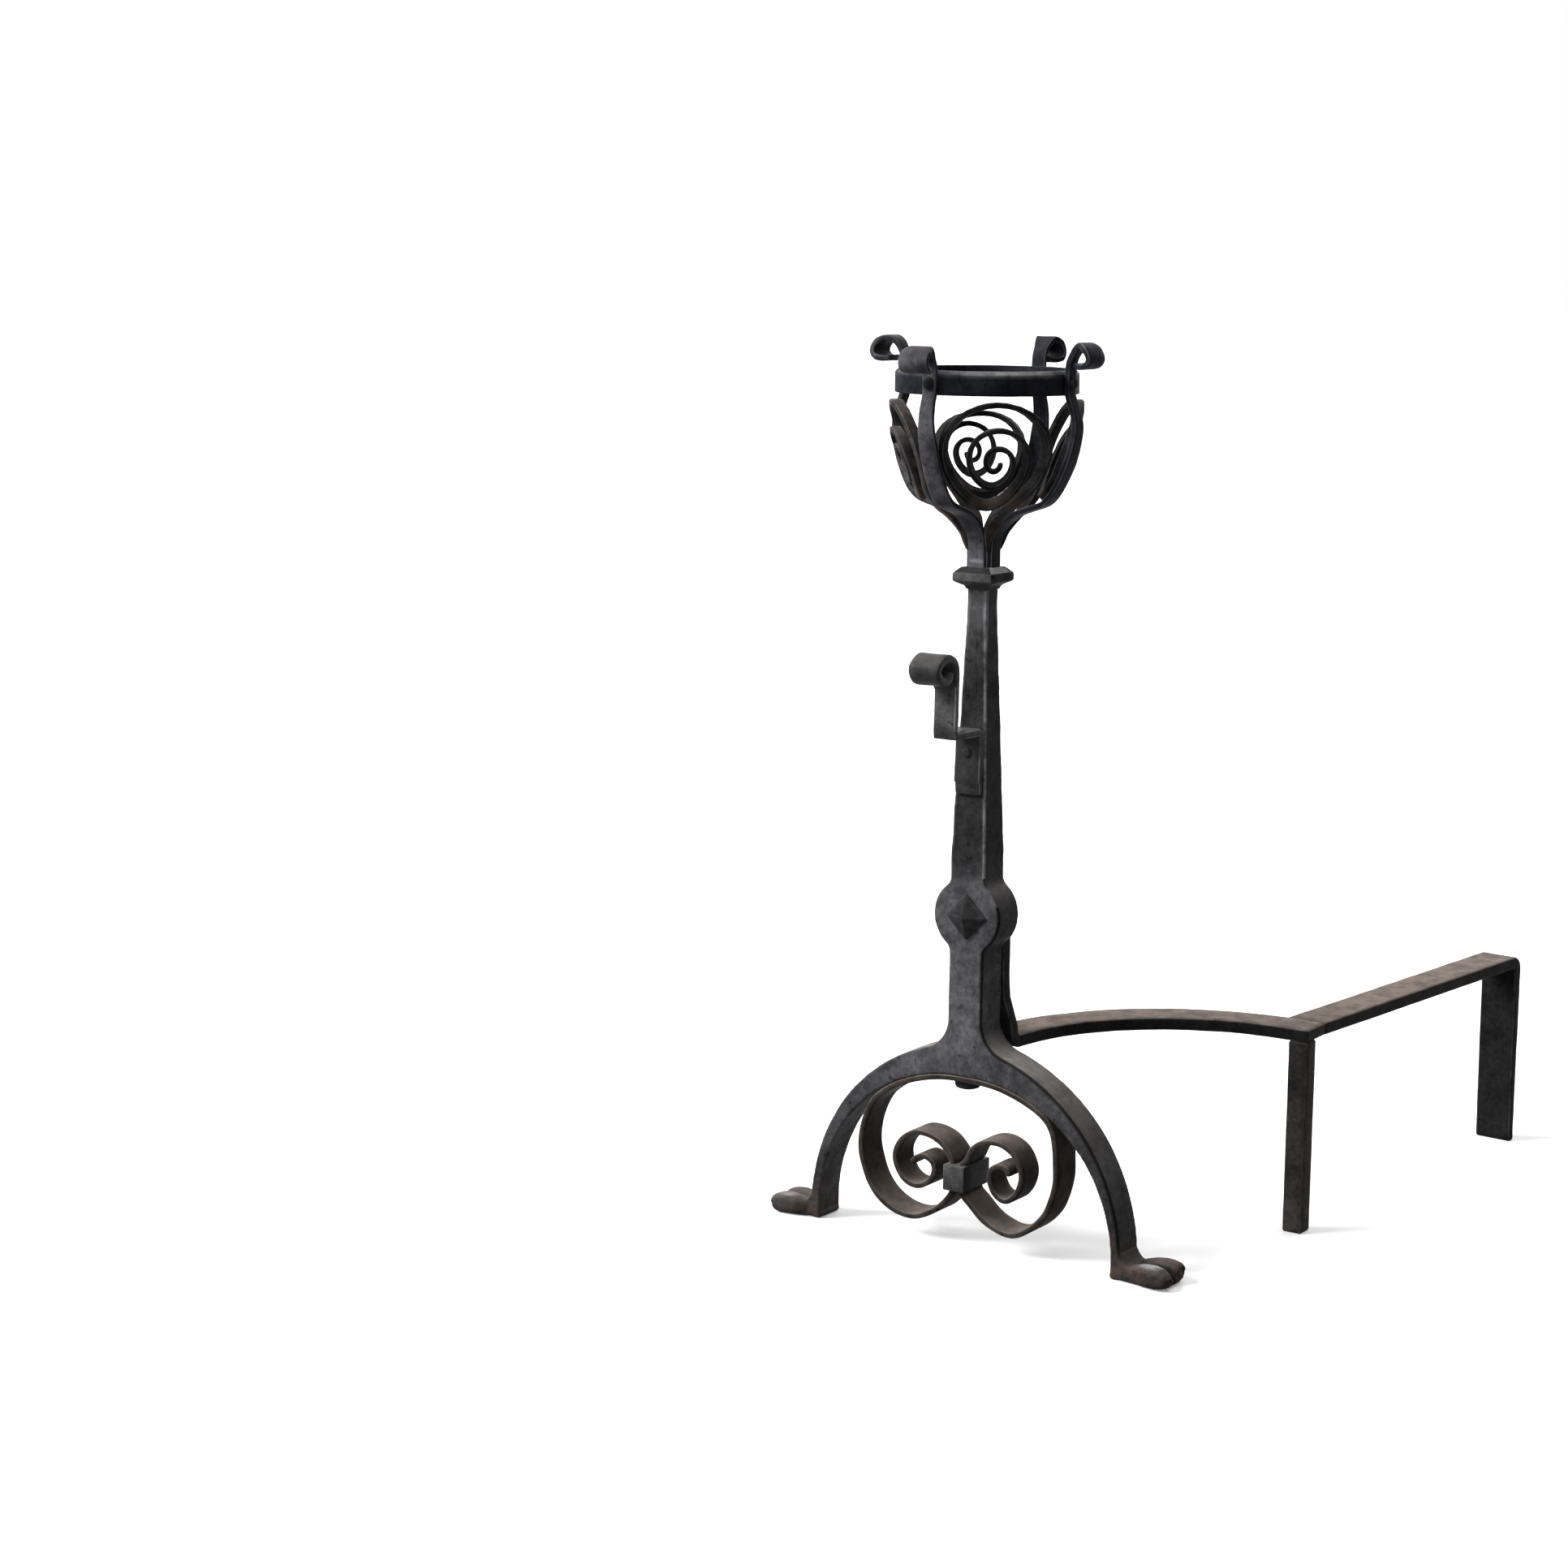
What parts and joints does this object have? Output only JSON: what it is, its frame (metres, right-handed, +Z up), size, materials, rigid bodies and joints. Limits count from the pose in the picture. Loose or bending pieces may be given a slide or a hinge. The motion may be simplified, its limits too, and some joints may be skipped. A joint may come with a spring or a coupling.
{
  "type": "andiron",
  "caption": "Hand-forged fireplace andiron: tall tapered standard on two splayed legs, cup basket on top, spit hook, and a billet bar set off to one side on its own legs.",
  "frame": {"origin": "on the hearth, under the axis of the tall standard, midway between its two front feet in depth", "axes": "+X to the right seen from the front, towards the side of the billet bar; +Y to the back, into the fireplace; +Z up"},
  "size_m": [0.3174, 0.4954, 0.5443],
  "materials": {
    "forged_iron": "blackened forged iron, satin, hammered faces",
    "billet_iron": "blackened forged iron, satin, faintly rust-brown on upward faces",
    "strip_iron": "blackened forged strip, satin, brown tint in the bends",
    "basket_iron": "blackened forged strip, satin, rubbed edges",
    "rosette_iron": "blackened forged bar, satin, brown tint at the stems",
    "rivet_iron": "blackened upset iron, satin"
  },
  "bodies": {
    "root": {"standard": "forged_iron", "stud": "rivet_iron", "curved_arm": "billet_iron", "billet_bar": "billet_iron", "middle_leg": "billet_iron", "base_scroll": "strip_iron", "scroll_clip": "strip_iron", "crown_rivet": "rivet_iron", "spit_hook": "strip_iron", "hook_rivet": "rivet_iron", "collar": "forged_iron", "strap_front": "basket_iron", "strap_right": "basket_iron", "strap_back": "basket_iron", "strap_left": "basket_iron", "basket_ring": "basket_iron", "ring_rivets": "rivet_iron", "rosette_front_right": "rosette_iron", "rosette_back_right": "rosette_iron", "rosette_back_left": "rosette_iron", "rosette_front_left": "rosette_iron"}
  },
  "joints": []
}
